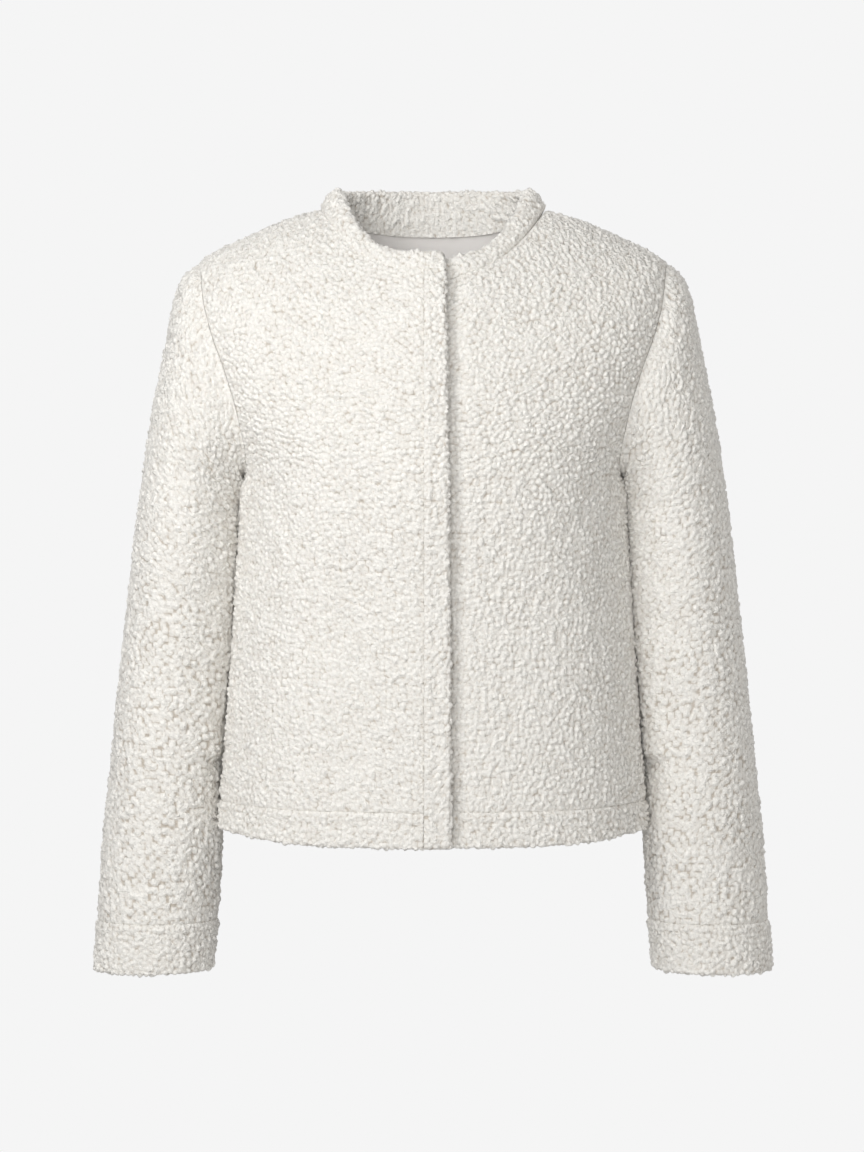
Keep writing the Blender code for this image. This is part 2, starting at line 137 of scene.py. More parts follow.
# Nubs of the boucle yarn: round or slightly bent stretches of a thick soft yarn
NUB_GAP = 0.0037
NUB_HALF_LENGTH = (0.0, 0.0016)
NUB_BEND = (0.002, 0.007)
NUB_SWELL = (0.0, 0.0013)
NUB_CREST = (0.001, 0.0031)
NUB_FLANK = 0.0017
NUB_WIDEST = 0.0029
NUB_REACH = 0.006
NUB_SINK = 0.0012
# The height that the nub attribute counts as a full crest, above the boucle's painted shade
# between nubs
NUB_FULL = 0.0022
NUB_AT_SEAM = 0.85
NUB_INSIDE = 0.45
SEAM_REACH = 0.008
SEAM_TAPER = 0.002

# How large each piece was cut: width, length and area of its cloth, in metres
Cut = namedtuple("Cut", "piece slot width length area held rests_on")
CUTS = tuple(map(Cut._make, (
    ("front_right", "boucle", 0.222, 0.56, 0.0995, "hung", ("back", "sleeve_right")),
    ("front_left", "boucle", 0.242, 0.56, 0.1078, "hung", ("back", "sleeve_left")),
    ("back", "boucle", 0.43, 0.575, 0.2009, "hung", ("front_right", "front_left")),
    ("sleeve_right", "boucle", 0.43, 0.56, 0.1512, "hung", ("front_right", "back")),
    ("sleeve_left", "boucle", 0.43, 0.56, 0.1512, "hung", ("front_left", "back")),
    ("hem_front_right", "boucle", 0.225, 0.03, None, "folded", ("front_right",)),
    ("hem_front_left", "boucle", 0.245, 0.03, None, "folded", ("front_left",)),
    ("hem_back", "boucle", 0.43, 0.03, None, "folded", ("back",)),
    ("cuff_right", "boucle", 0.26, 0.048, None, "folded", ("sleeve_right",)),
    ("cuff_left", "boucle", 0.26, 0.048, None, "folded", ("sleeve_left",)),
    ("placket", "boucle", 0.024, 0.545, None, "folded", ("front_right",)),
    ("neckband", "boucle", 0.03, 0.54, None, "folded", ("front_right", "front_left", "back")),
    ("lining_back", "lining", 0.415, 0.555, 0.1845, "hung", ("back",)),
)))

# One sequence of random draws for each piece
FIRST_SEED = 11
SEEDS = {cut.piece: FIRST_SEED + k for k, cut in enumerate(CUTS)}

# Colours. The boucle's run from painted shade on the ground between the nubs up to the crests; the
# other cloths' vary across them.
BOUCLE_PAINTED_SHADE_COLOURS = (
    (0.0, (0.545, 0.49, 0.425)),
    (0.25, (0.78, 0.747, 0.694)),
    (0.7, (0.875, 0.852, 0.805)),
)
WRONG_SIDE_COLOURS = ((0.3, (0.68, 0.655, 0.605)), (0.7, (0.73, 0.705, 0.655)))
LINING_COLOURS = ((0.3, (0.92, 0.885, 0.85)), (0.7, (0.94, 0.91, 0.88)))
FLOOR_COLOURS = ((0.0, (0.86, 0.86, 0.86)), (1.0, (0.88, 0.88, 0.88)))

# How each material takes the light
Finish = namedtuple("Finish", "roughness sheen sheen_roughness specular")
FINISH_SOCKETS = ("Roughness", "Sheen Weight", "Sheen Roughness", "Specular IOR Level")
BOUCLE_FINISH = Finish(0.92, 0.22, 0.45, 0.2)
WRONG_SIDE_FINISH = Finish(0.95, 0.15, 0.5, 0.15)
LINING_FINISH = Finish(0.46, 0.25, 0.3, 0.42)
FLOOR_FINISH = Finish(0.9, 0.0, 0.3, 0.2)

# The textures of the materials: how fine they are, the greys they multiply a colour by, their
# bump and their detail. The curls' and cracks' greys are painted shade in the pits and cracks,
# with a faint painted highlight at the curls' middles.
Grain = namedtuple("Grain", "scale low high distance strength detail", defaults=(0, 0, 2))
CURLS_AND_PIT_SHADE = Grain(430, 1.02, 0.93, 0.0015, 0.6)
STRANDS = Grain(750, 1, 1, 0.001, 0.6, 3)
CRACKS_AND_CRACK_SHADE = Grain(290, 0.93, 1.005, 0.0006, 0.42)
DRIFT = Grain(14, 0.975, 1.025)
SPECKLE = Grain(240, 0.955, 1.045)
LOOPS = Grain(300, 0.93, 1.05, 0.0009, 0.5, 3)
PULLS = Grain(30, 0.97, 1.03, 0.004, 0.2)
FLOOR_GRIT = Grain(60, 1, 1, 0.002, 0.1)
CURL_PIT_SHADE_RANGE = (0.1, 0.7)
CRACK_WIDTH = 0.18
FLOOR_BLOTCHES = 3

# Weaves also wander, run some ways across the cloth, and have blotches of colour
Weave = namedtuple("Weave", Grain._fields + ("wander", "ways", "blotches"))
GROUND = Weave(260, 0.86, 1.03, 0.0006, 0.6, 1, 1.2, ("X", "Y"), 20)
TWILL = Weave(520, 0.975, 1.015, 0.0002, 0.35, 2, 0.4, ("DIAGONAL",), 8)

# Studio
FLOOR_HEIGHT = -2.3
FLOOR_RADIUS = 7.4
FLOOR_FADE_FROM = 2.6
FLOOR_GLOW = 0.36
FLOOR_SIDES = 96
SURROUND = (0.913, 0.913, 0.913)
AMBIENT = (0.37, 0.364, 0.355)
CAMERA_AWAY = 2.35
CAMERA_LENS = 89.6
CAMERA_ASIDE = -0.0008
CAMERA_ABOVE = -0.0017
Light = namedtuple("Light", "name place aim size power tint")
LIGHTS = tuple(map(Light._make, (
    ("key", (-0.8, -1.05, 0.45), -0.28, 0.6, 9.3, (0.979, 0.988, 1.0)),
    ("front", (-0.15, -2.5, 0.1), -0.25, 1.0, 30.6, (0.984, 0.991, 1.0)),
    ("behind", (-0.6, 2.4, 0.5), -0.28, 1.2, 44.0, (0.992, 0.995, 1.0)),
    ("far_side", (1.9, 1.3, 0.4), -0.28, 1.2, 16.0, (0.992, 0.995, 1.0)),
)))

BodyRing = namedtuple(
    "BodyRing", "name station side_x side_y side_z front_y front_z back_y back_z square rise"
)
BODY_RINGS = tuple(map(BodyRing._make, (
    ("hem edge", 0.0, 0.17, 0.0, -0.4985, -0.12, -0.5075, 0.11, -0.5035, 2.5, 4.0),
    ("hem line", 0.022, 0.1688, 0.0, -0.4765, -0.1197, -0.4795, 0.109, -0.478, 2.5, 4.0),
    ("below waist", 0.074, 0.1645, 0.0, -0.425, -0.1185, -0.425, 0.106, -0.425, 2.5, 3.0),
    ("waist", 0.189, 0.157, 0.001, -0.31, -0.119, -0.31, 0.1, -0.31, 2.5, 2.5),
    ("chest", 0.264, 0.1535, 0.003, -0.235, -0.126, -0.235, 0.106, -0.235, 2.5, 2.5),
    ("underarm", 0.284, 0.1545, 0.004, -0.215, -0.1268, -0.218, 0.108, -0.216, 2.48, 2.5),
    ("lower armhole", 0.336, 0.174, 0.005, -0.165, -0.1258, -0.188, 0.11, -0.18, 2.34, 2.5),
    ("mid armhole", 0.385, 0.191, 0.005, -0.119, -0.1222, -0.163, 0.109, -0.147, 2.2, 2.5),
    ("upper armhole", 0.427, 0.1995, 0.005, -0.08, -0.1172, -0.1415, 0.105, -0.116, 2.12, 2.5),
    ("below shoulder", 0.447, 0.1985, 0.004, -0.059, -0.1142, -0.1305, 0.102, -0.101, 2.08, 2.5),
    ("shoulder point", 0.463, 0.192, 0.004, -0.0395, -0.1115, -0.121, 0.099, -0.088, 2.06, 2.5),
    ("outer shoulder", 0.477, 0.1812, 0.004, -0.0315, -0.109, -0.112, 0.096, -0.0765, 2.04, 2.5),
    ("mid shoulder", 0.51, 0.1505, 0.003, -0.0165, -0.103, -0.093, 0.086, -0.051, 2.02, 2.5),
    ("inner shoulder", 0.542, 0.1205, 0.001, -0.004, -0.095, -0.0745, 0.075, -0.028, 2.0, 2.5),
    ("neck seam", 0.573, 0.092, 0.0, 0.0045, -0.085, -0.0565, 0.062, -0.006, 2.0, 2.6),
)))
HEM_LINE = 0.022
UNDERARM = 0.284
SHOULDER_POINT = 0.463
NECK_SEAM = 0.573

BandEdge = namedtuple("BandEdge", "side_x side_y side_z front_y front_z back_y back_z square rise")
BAND_TOP = BandEdge(0.0785, 0.0, 0.0235, -0.0765, -0.0405, 0.0585, 0.0275, 2.0, 3.2)

SleeveRing = namedtuple(
    "SleeveRing", "name station outer_x outer_z inner_x inner_z front_y back_y square"
)
SLEEVE_RINGS = tuple(map(SleeveRing._make, (
    ("armhole seam", 0.0, 0.192, -0.0395, 0.1545, -0.215, -0.062, 0.062, 2.1),
    ("cap top", 0.012, 0.2025, -0.048, 0.1549, -0.2165, -0.064, 0.064, 2.1),
    ("cap turn", 0.028, 0.21, -0.0645, 0.1556, -0.219, -0.066, 0.067, 2.1),
    ("cap", 0.06, 0.217, -0.099, 0.1566, -0.224, -0.067, 0.069, 2.1),
    ("upper sleeve", 0.118, 0.2283, -0.156, 0.1586, -0.238, -0.067, 0.071, 2.1),
    ("bicep", 0.2, 0.2405, -0.236, 0.16, -0.268, -0.064, 0.071, 2.1),
    ("elbow", 0.29, 0.251, -0.326, 0.163, -0.334, -0.058, 0.069, 2.1),
    ("forearm", 0.4, 0.262, -0.434, 0.1715, -0.436, -0.058, 0.058, 2.1),
    ("below hem", 0.475, 0.2688, -0.508, 0.1722, -0.5085, -0.06, 0.046, 2.1),
    ("cuff line", 0.541, 0.2726, -0.574, 0.1758, -0.574, -0.062, 0.036, 2.1),
    ("cuff edge", 0.581, 0.275, -0.614, 0.1795, -0.614, -0.063, 0.03, 2.1),
)))
CAP_LENGTH = 0.118
CUFF_LINE = 0.541
CUFF_EDGE = 0.581

# Grooves that the cloth rolls into at its seams: how deep, and from how far away. A band's
# groove has the first word of its name.
Groove = namedtuple("Groove", "depth reach")
GROOVES = {
    "side": Groove(0.0004, 0.003),
    "armhole": Groove(0.0003, 0.005),
    "shoulder": Groove(0.0004, 0.003),
    "neckband": Groove(0.0014, 0.0036),
    "faint_neck": Groove(0.0002, 0.0032),
    "hem": Groove(0.001, 0.003),
    "placket": Groove(0.0009, 0.003),
    "cuff": Groove(0.001, 0.003),
    "open": Groove(0.0, 0.0),
}

# Soft troughs in the cloth. Places are the distance from the centre line, or from the top line
# of a sleeve towards the front, and the station.
Crease = namedtuple("Crease", "across_from station_from across_to station_to bow width depth")
CREASES = {
    "front_right": (
        (0.15, 0.3, 0.105, 0.225, 0.006, 0.011, 0.0016),
        (0.168, 0.262, 0.13, 0.15, -0.008, 0.013, 0.0014),
        (0.07, 0.08, 0.085, 0.23, 0.005, 0.022, 0.0012),
    ),
    "front_left": (
        (0.15, 0.305, 0.1, 0.215, 0.007, 0.012, 0.0018),
        (0.17, 0.255, 0.135, 0.135, -0.006, 0.012, 0.0013),
        (0.06, 0.06, 0.08, 0.21, 0.006, 0.024, 0.0012),
    ),
    "back": (
        (-0.12, 0.38, -0.085, 0.19, 0.01, 0.02, 0.0022),
        (0.125, 0.37, 0.095, 0.17, -0.008, 0.018, 0.0019),
        (-0.165, 0.29, -0.12, 0.225, 0.005, 0.01, 0.0016),
        (0.165, 0.295, 0.115, 0.235, -0.005, 0.011, 0.0017),
        (0.03, 0.06, 0.02, 0.2, 0.006, 0.024, 0.0012),
    ),
    "sleeve_right": (
        (0.15, 0.11, 0.06, 0.19, 0.01, 0.012, 0.0018),
        (0.15, 0.25, 0.07, 0.295, 0.006, 0.011, 0.0015),
        (-0.15, 0.24, -0.05, 0.3, -0.008, 0.013, 0.002),
        (-0.14, 0.33, -0.04, 0.36, 0.006, 0.012, 0.0014),
        (0.02, 0.38, 0.05, 0.5, 0.005, 0.018, 0.0011),
    ),
    "sleeve_left": (
        (0.155, 0.12, 0.055, 0.205, -0.009, 0.012, 0.0017),
        (0.145, 0.27, 0.06, 0.31, -0.007, 0.012, 0.0016),
        (-0.15, 0.23, -0.055, 0.28, 0.008, 0.012, 0.0019),
        (-0.135, 0.31, -0.045, 0.35, -0.006, 0.013, 0.0015),
        (0.015, 0.4, 0.045, 0.505, -0.005, 0.017, 0.0011),
    ),
}


def through_rows(rows, column, at):
    """A smooth curve through one column of a table, read at some stations."""
    stations = np.array([row.station for row in rows])
    values = np.array([getattr(row, column) for row in rows])
    slopes = np.gradient(values, stations)
    low = np.clip(np.searchsorted(stations, at, side="right") - 1, 0, len(rows) - 2)
    span = stations[low + 1] - stations[low]
    t = (at - stations[low]) / span
    start = values[low] * (1 + 2 * t) * (1 - t) ** 2 + slopes[low] * span * t * (1 - t) ** 2
    end = values[low + 1] * t**2 * (3 - 2 * t) - slopes[low + 1] * span * t**2 * (1 - t)
    return start + end


def on_ring(ring, face, angle):
    """Points of a ring. The angle is 0 at the centre front or back and 90 at the side."""
    turn = np.radians(angle)
    power = 2.0 / ring["square"]
    across = np.sign(np.sin(turn)) * np.abs(np.sin(turn)) ** power
    towards = np.abs(np.cos(turn)) ** power
    rise = np.abs(across) ** ring["rise"]
    x = ring["side_x"] * across
    y = ring["side_y"] + (ring[face + "_y"] - ring["side_y"]) * towards
    z = ring[face + "_z"] + (ring["side_z"] - ring[face + "_z"]) * rise
    return np.stack(np.broadcast_arrays(x, y, z), axis=-1)


def on_body(face, station, angle):
    """Points on the outside of the body form, on the wearer's left side for angles above 0."""
    columns = BodyRing._fields[2:]
    ring = {name: through_rows(BODY_RINGS, name, station) for name in columns}
    return on_ring(ring, face, angle)


def unit(vectors):
    return vectors / np.linalg.norm(vectors, axis=-1, keepdims=True)


def body_normal(face, station, angle):
    """Outward directions, from points a little to each side."""
    above = on_body(face, np.minimum(station + LEVEL_STEP, NECK_SEAM), angle)
    below = on_body(face, np.maximum(station - LEVEL_STEP, 0.0), angle)
    ahead = on_body(face, station, np.minimum(angle + ANGLE_STEP, 90.0))
    behind = on_body(face, station, np.maximum(angle - ANGLE_STEP, -90.0))
    normal = unit(np.cross(ahead - behind, above - below))
    return normal if face == "front" else -normal


def neck_edges(face, angle):
    """The band's outer face at the neck seam and at its top edge."""
    seam = on_body(face, NECK_SEAM, angle)
    top = on_ring(BAND_TOP._asdict(), face, angle)
    return seam, top


def band_normal(face, angle):
    """Outward directions of the neckband, which rises from the neck seam to its top edge."""
    seam, top = neck_edges(face, angle)
    ahead = neck_edges(face, np.minimum(angle + ANGLE_STEP, 90.0))[0]
    behind = neck_edges(face, angle - ANGLE_STEP)[0]
    normal = unit(np.cross(ahead - behind, top - seam))
    return normal if face == "front" else -normal


def armhole_angle(station):
    """Where a row of the body stops: at the side or shoulder seam, or on the armhole."""
    share = np.clip((station - UNDERARM) / (SHOULDER_POINT - UNDERARM), 0.0, 1.0)
    return 90.0 - BITE * np.maximum(np.sin(np.pi * share), 0.0) ** BITE_SHARPNESS


def lengths_along(points):
    """Distances along a line of points, from its first."""
    steps = np.linalg.norm(np.diff(points, axis=0), axis=1)
    return np.concatenate([[0.0], np.cumsum(steps)])


def measured_row(face, station, last_angle=90.0):
    """A row's angles with their distances from the centre line."""
    angles = np.linspace(MEASURE_FROM, last_angle, MEASURE_POINTS)
    length = lengths_along(on_body(face, station, angles))
    return angles, length - np.interp(0.0, angles, length)


def fade(distance, reach):
    """1 at no distance, smoothly down to 0 at the reach."""
    share = np.clip(distance / reach, 0.0, 1.0)
    return 1 - share * share * (3 - 2 * share)


def swelling(distance, swell):
    return swell.height * np.exp(-(((distance - swell.at) / swell.reach) ** 2))


def leaning(from_seam, in_front, below_underarm, above_hem=LEAN_FADE):
    """How far the body's side, or the inside of a sleeve, leans towards the other. In front
    both swell, to fill the wedge between them."""
    share = (1 - fade(below_underarm, LEAN_FADE)) * (1 - fade(above_hem, LEAN_FADE))
    return share * (LEAN * fade(from_seam, LEAN_REACH) + swelling(from_seam, WEDGE) * in_front)


def lap_at(station):
    """How far the right front's edge lies past the centre line."""
    return LAP_AT_HEM + (LAP_AT_NECK - LAP_AT_HEM) * station / NECK_SEAM


def front_offset(side, distance):
    """The lap lifts the right front off the form, and the left front dips under it."""
    if side < 0:
        return LAP_LIFT * fade(distance - PLACKET_FROM_CENTRE, LAP_FADE)
    dip = UNDERLAP_DIP * fade(distance + UNDERLAP, UNDERLAP_FADE)
    return -dip - swelling(distance, LAP_TROUGH)


def mirrored(points, side):
    return points * np.array([side, 1.0, 1.0])


def armhole_loop():
    """The armhole from the shoulder point, down the front, under the arm and up the back,
    with the angle round the sleeve of each point: 0 at the top and 180 under the arm."""
    even = np.linspace(0.0, 1.0, LOOP_POINTS)
    levels = UNDERARM + (SHOULDER_POINT - UNDERARM) * (1 - np.cos(np.pi * even)) / 2
    halves = [on_body(face, levels, armhole_angle(levels)) for face in ("front", "back")]
    lengths = [lengths_along(half[::-1]) for half in halves]
    turns = [180.0 * length / length[-1] for length in lengths]
    loop = np.concatenate([halves[0][::-1], halves[1][1:]])
    around = np.concatenate([turns[0], 360.0 - turns[1][::-1][1:]])
    return loop, around


LOOP, LOOP_TURNS = armhole_loop()


def sleeve_oval(station, turns):
    """Points of the sleeve's ovals, whose centre and width come from the table."""
    ring = {name: through_rows(SLEEVE_RINGS, name, station) for name in SleeveRing._fields[2:]}
    turn = np.radians(turns)
    power = 2.0 / ring["square"]
    wide = (1 + np.sign(np.cos(turn)) * np.abs(np.cos(turn)) ** power) / 2
    deep = -np.sign(np.sin(turn)) * np.abs(np.sin(turn)) ** power
    middle = (ring["front_y"] + ring["back_y"]) / 2
    half = (ring["back_y"] - ring["front_y"]) / 2
    x = ring["inner_x"] + (ring["outer_x"] - ring["inner_x"]) * wide
    z = ring["inner_z"] + (ring["outer_z"] - ring["inner_z"]) * wide
    y = middle + half * deep
    return np.stack(np.broadcast_arrays(x, y, z), axis=-1)


def on_sleeve(station, turns):
    """The sleeve's outside. It starts on the armhole, and becomes plain ovals by the end
    of its cap. Turns above 0 are towards the front."""
    wrapped = np.mod(turns, 360.0)
    loop = np.stack([np.interp(wrapped, LOOP_TURNS, LOOP[:, k]) for k in range(3)], axis=-1)
    start = loop - sleeve_oval(0.0, wrapped)
    left = (1 - np.clip(station / CAP_LENGTH, 0.0, 1.0)) ** 2
    return sleeve_oval(station, wrapped) + start * left[..., None]


def sleeve_normal(station, turns):
    above = on_sleeve(np.maximum(station - LEVEL_STEP, 0.0), turns)
    below = on_sleeve(np.minimum(station + LEVEL_STEP, CUFF_EDGE), turns)
    around = on_sleeve(station, turns + ANGLE_STEP) - on_sleeve(station, turns - ANGLE_STEP)
    return unit(np.cross(around, below - above))


class Rows:
    """Points in rows of one spacing. Each row runs from its first place to its last, and its
    inner points stand at whole multiples of the step, so that neighbouring rows line up."""

    def __init__(self, rows, closed=False):
        self.closed = closed
        self.first_column = [row[0] for row in rows]
        self.counts = [len(row[1]) for row in rows]
        self.starts = np.concatenate([[0], np.cumsum(self.counts)])
        self.across = np.concatenate([row[1] for row in rows])
        self.turn = np.concatenate([row[2] for row in rows])
        self.station = np.repeat([row[3] for row in rows], self.counts)

    def row(self, k):
        return np.arange(self.starts[k], self.starts[k + 1])

    def vertex_of(self):
        """The last point of a closed row is its first one again."""
        own = np.arange(self.starts[-1])
        if self.closed:
            own[self.starts[1:] - 1] = self.starts[:-1]
        return own

    def sides(self):
        """The bottom row, the row ends, the top row and the row starts."""
        bottom, top = self.row(0), self.row(len(self.counts) - 1)
        return bottom, self.starts[1:] - 1, top, self.starts[:-1]

    def from_ends(self):
        """How far each point lies from the nearer end of a row that reaches as far each way."""
        reach = np.repeat(self.across[self.starts[1:] - 1], self.counts)
        return reach - np.abs(self.across)

    def faces(self):
        """Quads where two rows line up, and fans where one is longer."""
        found = []
        for k in range(len(self.counts) - 1):
            near, far = self.row(k), self.row(k + 1)
            shift = self.first_column[k + 1] - self.first_column[k]
            near_from, far_from = max(shift, 0), max(-shift, 0)
            shared = min(len(near) - near_from, len(far) - far_from)
            a, b = near[near_from:near_from + shared], far[far_from:far_from + shared]
            found += np.stack([a[:-1], a[1:], b[1:], b[:-1]], axis=1).tolist()
            found += [[near[i], near[i + 1], b[0]] for i in range(near_from)]
            found += [[a[0], far[i + 1], far[i]] for i in range(far_from)]
            near_to, far_to = near_from + shared - 1, far_from + shared - 1
            found += [[near[i], near[i + 1], b[-1]] for i in range(near_to, len(near) - 1)]
            found += [[a[-1], far[i + 1], far[i]] for i in range(far_to, len(far) - 1)]
        return found


def spaced(first, last, step):
    """Places from first to last, whole multiples of the step between them, with the number
    of the first column."""
    low = int(np.ceil(first / step + 0.5))
    high = int(np.floor(last / step - 0.5))
    return low - 1, np.concatenate([[first], np.arange(low, high + 1) * step, [last]])


def body_rows(face, first, margin, stations, step, whole=False):
    """Rows of a front or back. A whole row runs from side to side."""
    rows = []
    for station in stations:
        angles, length = measured_row(face, station, float(armhole_angle(station)))
        last = length[-1] - margin
        start = -last if whole else first
        column, places = spaced(start, last, step)
        turn = np.sign(places) * np.interp(np.abs(places), length, angles)
        if not whole:
            turn = np.interp(places, length, angles)
        rows.append((column, places, turn, station))
    return Rows(rows)


def sleeve_rows(stations, step):
    """Closed rows of a sleeve, which start and end on the seam under the arm."""
    rows = []
    turns = np.linspace(-180.0, 180.0, 2 * MEASURE_POINTS + 1)
    for station in stations:
        length = lengths_along(on_sleeve(station, turns))
        length = length - length[MEASURE_POINTS]
        column, places = spaced(length[0], length[-1], step)
        rows.append((column, places, np.interp(places, length, turns), station))
    return Rows(rows, closed=True)


def even(first, last, step):
    return np.linspace(first, last, max(int(round(abs(last - first) / step)), 1) + 1)


def zipped(near, far, near_points, far_points):
    """Triangles between two lines of points with different spacing."""
    near_share = lengths_along(near_points)
    far_share = lengths_along(far_points)
    near_share = near_share / max(near_share[-1], SMALLEST)
    far_share = far_share / max(far_share[-1], SMALLEST)
    found, i, j = [], 0, 0
    while i < len(near) - 1 or j < len(far) - 1:
        step_near = j == len(far) - 1
        if i < len(near) - 1 and not step_near:
            step_near = near_share[i + 1] <= far_share[j + 1]
        if step_near:
            found.append([near[i], near[i + 1], far[j]])
            i += 1
        else:
            found.append([near[i], far[j + 1], far[j]])
            j += 1
    return found


def tree_of(points):
    tree = KDTree(len(points))
    for k, point in enumerate(points):
        tree.insert(point, k)
    tree.balance()
    return tree


def distance_to(tree, size, line, reach):
    """How far each point of the tree is from a line of points, up to a reach."""
    distance = np.full(size, reach)
    for point in line:
        for _, k, far in tree.find_range(point, reach):
            if far < distance[k]:
                distance[k] = far
    return distance


def nubs(points, normals, tree, seed):
    """The height of the yarn above the ground at each point. Short arcs of yarn are thrown
    on until no place is further than the gap from one. Each place belongs to the nearest,
    and swells up to a round crest from a crease where two arcs meet."""
    random = np.random.default_rng(seed)
    free = np.ones(len(points), dtype=bool)
    centres, counts, reached = [], [], []
    for k in random.permutation(len(points)):
        if not free[k]:
            continue
        found = tree.find_range(points[k], NUB_REACH)
        centres.append(k)
        counts.append(len(found))
        reached += [other for _, other, _ in found]
        free[[other for _, other, far in found if far < NUB_GAP]] = False
    centres, reached = np.array(centres), np.array(reached)
    total = len(centres)
    half = random.uniform(*NUB_HALF_LENGTH, total)
    bend = random.uniform(*NUB_BEND, total)
    swell = random.uniform(*NUB_SWELL, total)
    crest = random.uniform(*NUB_CREST, total)
    heading = unit(np.cross(normals[centres], random.normal(size=(total, 3))))
    beside = np.cross(normals[centres], heading)
    arc = np.repeat(np.arange(total), counts)
    towards = points[reached] - points[centres[arc]]
    along = np.sum(towards * beside[arc], axis=1)
    out = np.sum(towards * heading[arc], axis=1) + bend[arc]
    lifted = np.sum(towards * normals[centres[arc]], axis=1)
    angle = np.arctan2(along, out)
    limit = half[arc] / bend[arc]
    off = angle - np.clip(angle, -limit, limit)
    span = np.hypot(along, out)
    squared = span**2 + bend[arc] ** 2 - 2 * span * bend[arc] * np.cos(off) + lifted**2
    distance = np.sqrt(np.maximum(squared, 0.0))
    rank = distance - swell[arc]
    nearest = np.full(len(points), NUB_REACH)
    np.minimum.at(nearest, reached, rank)
    own = rank <= nearest[reached]
    second = np.full(len(points), NUB_REACH)
    np.minimum.at(second, reached[~own], rank[~own])
    owner = np.zeros(len(points), dtype=int)
    owner[reached[own]] = arc[own]
    from_own = np.full(len(points), NUB_REACH)
    from_own[reached[own]] = distance[own]
    flank = 1 - np.clip((second - nearest) / (2 * NUB_FLANK), 0.0, 1.0)
    dome = np.sqrt(1 - flank**2) * np.sqrt(np.clip(1 - (from_own / NUB_WIDEST) ** 2, 0.0, 1.0))
    return crest[owner] * dome


def rolled(distance, groove):
    """How far the cloth rolls down as it nears a seam."""
    if groove.depth == 0:
        return np.zeros(np.shape(distance))
    share = 1 - np.clip(distance / groove.reach, 0.0, 1.0)
    return -groove.depth * (1 - np.sqrt(1 - share**2))


def creased(name, across, station):
    """The creases of one piece, as an offset."""
    offset = np.zeros(np.shape(across))
    for crease in map(Crease._make, CREASES.get(name, ())):
        run = (crease.across_to - crease.across_from, crease.station_to - crease.station_from)
        length = np.hypot(*run)
        run = np.array(run) / length
        du, dv = across - crease.across_from, station - crease.station_from
        along = (du * run[0] + dv * run[1]) / length
        beside = dv * run[0] - du * run[1] - 4 * crease.bow * along * (1 - along)
        inside = (along > 0) & (along < 1)
        ends = np.where(inside, np.sin(np.pi * np.clip(along, 0, 1)) ** 0.8, 0.0)
        offset -= crease.depth * ends * np.exp(-((beside / crease.width) ** 2))
    return offset


def placed(name, data, place=(0.0, 0.0, 0.0)):
    """An object in the scene."""
    item = bpy.data.objects.new(name, data)
    item.location = place
    bpy.context.scene.collection.objects.link(item)
    return item


def piece(name, points, faces, uv, nub, wrong_from, rims, materials, vertex_of=None):
    """A mesh object from faces of numbered points. Faces from wrong_from on take the second
    material, and faces numbered in rims meet the others at a sharp edge."""
    vertex_of = np.arange(len(points)) if vertex_of is None else vertex_of
    used, compact = np.unique(vertex_of, return_inverse=True)
    mesh = bpy.data.meshes.new(name + "_cloth")
    numbered = [[int(compact[i]) for i in face] for face in faces]
    mesh.from_pydata(points[used].tolist(), [], numbered)
    layer = mesh.uv_layers.new(name="cloth")
    corners = np.concatenate([np.asarray(face) for face in faces])
    layer.data.foreach_set("uv", uv[corners].astype(np.float32).ravel())
    # Heights of the nubs, which the boucle's colour turns into painted shade down between them
    heights = mesh.attributes.new("nub", "FLOAT", "POINT")
    heights.data.foreach_set("value", nub[used].astype(np.float32))
    for material in materials:
        mesh.materials.append(material)
    if len(materials) > 1:
        slots = np.zeros(len(faces), dtype=np.int32)
        slots[wrong_from:] = 1
        mesh.polygons.foreach_set("material_index", slots)
    mesh.shade_smooth()
    body = bmesh.new()
    body.from_mesh(mesh)
    bmesh.ops.recalc_face_normals(body, faces=body.faces)
    body.faces.ensure_lookup_table()
    rims = set(rims)
    for k in rims:
        for edge in body.faces[k].edges:
            if any(face.index not in rims for face in edge.link_faces):
                edge.smooth = False
    body.to_mesh(mesh)
    body.free()
    return placed(name + "_cloth", mesh)


def relief(name, rows, points, normals, offset, edges):
    """A panel's outer face: its offset, its creases, the grooves at its edges and its nubs."""
    tree = tree_of(points)
    seam = np.full(len(points), SEAM_REACH)
    roll = np.zeros(len(points))
    for kind, line in edges:
        distance = distance_to(tree, len(points), points[line], SEAM_REACH)
        roll = np.minimum(roll, rolled(distance, GROOVES[kind]))
        if GROOVES[kind].depth:
            seam = np.minimum(seam, distance)
    height = nubs(points, normals, tree, SEEDS[name])
    height = height * (1 - (1 - NUB_AT_SEAM) * fade(seam, SEAM_REACH / 2))
    taper = 1 - fade(seam, SEAM_TAPER)
    lifted = offset + creased(name, rows.across, rows.station) + roll
    lifted = lifted + taper * (height - NUB_SINK)
    return points + normals * lifted[:, None], height / NUB_FULL


def joined(name, side, outer, inner, outer_points, inner_points, nub, materials, open_sides):
    """A closed wall from an outer and an inner face, zipped together at their open sides."""
    shift = len(outer_points)
    faces = outer.faces()
    wrong_from = len(faces)
    faces += [[shift + i for i in face] for face in inner.faces()]
    rim_from = len(faces)
    for k in open_sides:
        near, far = outer.sides()[k], inner.sides()[k]
        faces += zipped(near, shift + far, outer_points[near], inner_points[far])
    rims = range(rim_from, len(faces))
    points = mirrored(np.concatenate([outer_points, inner_points]), side)
    across = np.concatenate([outer.across, inner.across])
    uv = np.stack([across, np.concatenate([outer.station, inner.station])], axis=1)
    nub = np.concatenate([nub, np.zeros(len(inner_points))])
    vertex_of = np.concatenate([outer.vertex_of(), shift + inner.vertex_of()])
    return piece(name, points, faces, uv, nub, wrong_from, rims, materials, vertex_of)


